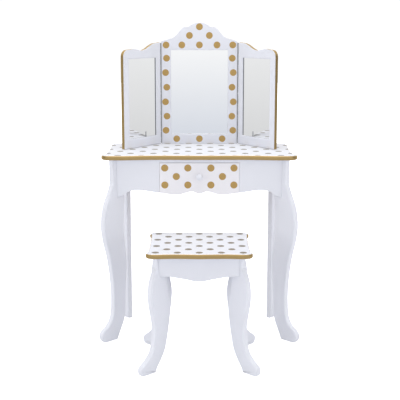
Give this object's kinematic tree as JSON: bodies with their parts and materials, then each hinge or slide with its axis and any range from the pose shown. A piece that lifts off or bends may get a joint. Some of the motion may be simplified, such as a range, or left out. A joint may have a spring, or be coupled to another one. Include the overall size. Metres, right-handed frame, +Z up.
{
  "type": "child's dressing table with stool",
  "caption": "Low dressing table on cabriole legs with a tri-fold mirror, a drawer in its scalloped apron and a matching stool.",
  "frame": {"origin": "on the floor, at the centre of the box around the table and the stool", "axes": "+Z up, +X to the sitter's right, +Y from the sitter to the wall"},
  "size_m": [0.63, 0.593, 0.9892],
  "materials": {
    "white_lacquer": "satin lacquer on fibreboard",
    "gold_paint": "metallic gold paint",
    "bare_wood": "bare planed birch",
    "zinc_steel": "zinc plated",
    "mirror_glass": "silvered",
    "hardboard": "smooth hardboard"
  },
  "bodies": {
    "table": {"drawer_runner_left": "bare_wood", "drawer_runner_right": "bare_wood", "left_lower_hinge_leaf_fixed": "zinc_steel", "left_lower_hinge_pin": "zinc_steel", "left_upper_hinge_leaf_fixed": "zinc_steel", "left_upper_hinge_pin": "zinc_steel", "mirror_backing": "hardboard", "mirror_frame": "white_lacquer", "mirror_glass": "mirror_glass", "mirror_screw_left": "zinc_steel", "mirror_screw_right": "zinc_steel", "right_lower_hinge_leaf_fixed": "zinc_steel", "right_lower_hinge_pin": "zinc_steel", "right_upper_hinge_leaf_fixed": "zinc_steel", "right_upper_hinge_pin": "zinc_steel", "table_apron_back": "white_lacquer", "table_apron_front": "white_lacquer", "table_apron_left": "white_lacquer", "table_apron_right": "white_lacquer", "table_corner_plate_back_left": "zinc_steel", "table_corner_plate_back_right": "zinc_steel", "table_corner_plate_front_left": "zinc_steel", "table_corner_plate_front_right": "zinc_steel", "table_leg_back_left": "white_lacquer", "table_leg_back_right": "white_lacquer", "table_leg_front_left": "white_lacquer", "table_leg_front_right": "white_lacquer", "table_top": "white_lacquer"},
    "left_wing": {"left_lower_hinge_leaf_moving": "zinc_steel", "left_upper_hinge_leaf_moving": "zinc_steel", "left_wing_backing": "hardboard", "left_wing_frame": "white_lacquer", "left_wing_glass": "mirror_glass"},
    "right_wing": {"right_lower_hinge_leaf_moving": "zinc_steel", "right_upper_hinge_leaf_moving": "zinc_steel", "right_wing_backing": "hardboard", "right_wing_frame": "white_lacquer", "right_wing_glass": "mirror_glass"},
    "drawer": {"drawer_back": "bare_wood", "drawer_bottom": "bare_wood", "drawer_front": "white_lacquer", "drawer_knob": "white_lacquer", "drawer_knob_screw": "zinc_steel", "drawer_side_left": "bare_wood", "drawer_side_right": "bare_wood"},
    "stool": {"stool_apron_back": "white_lacquer", "stool_apron_front": "white_lacquer", "stool_apron_left": "white_lacquer", "stool_apron_right": "white_lacquer", "stool_corner_plate_back_left": "zinc_steel", "stool_corner_plate_back_right": "zinc_steel", "stool_corner_plate_front_left": "zinc_steel", "stool_corner_plate_front_right": "zinc_steel", "stool_leg_back_left": "white_lacquer", "stool_leg_back_right": "white_lacquer", "stool_leg_front_left": "white_lacquer", "stool_leg_front_right": "white_lacquer", "stool_seat": "white_lacquer"}
  },
  "joints": [
    {"name": "left_wing_hinge", "type": "hinge", "parent": "table", "child": "left_wing", "pos_m": [-0.126, 0.2795, 0.593], "axis": [0, 0, 1], "range_deg": [-54, 72]},
    {"name": "right_wing_hinge", "type": "hinge", "parent": "table", "child": "right_wing", "pos_m": [0.126, 0.2795, 0.593], "axis": [0, 0, -1], "range_deg": [-54, 72]},
    {"name": "drawer_slide", "type": "slide", "parent": "table", "child": "drawer", "axis": [0, -1, 0], "range_m": [0, 0.15]},
    {"name": "stool_slide", "type": "slide", "parent": "table", "child": "stool", "axis": [0, 1, 0], "range_m": [-0.2, 0.28]}
  ]
}
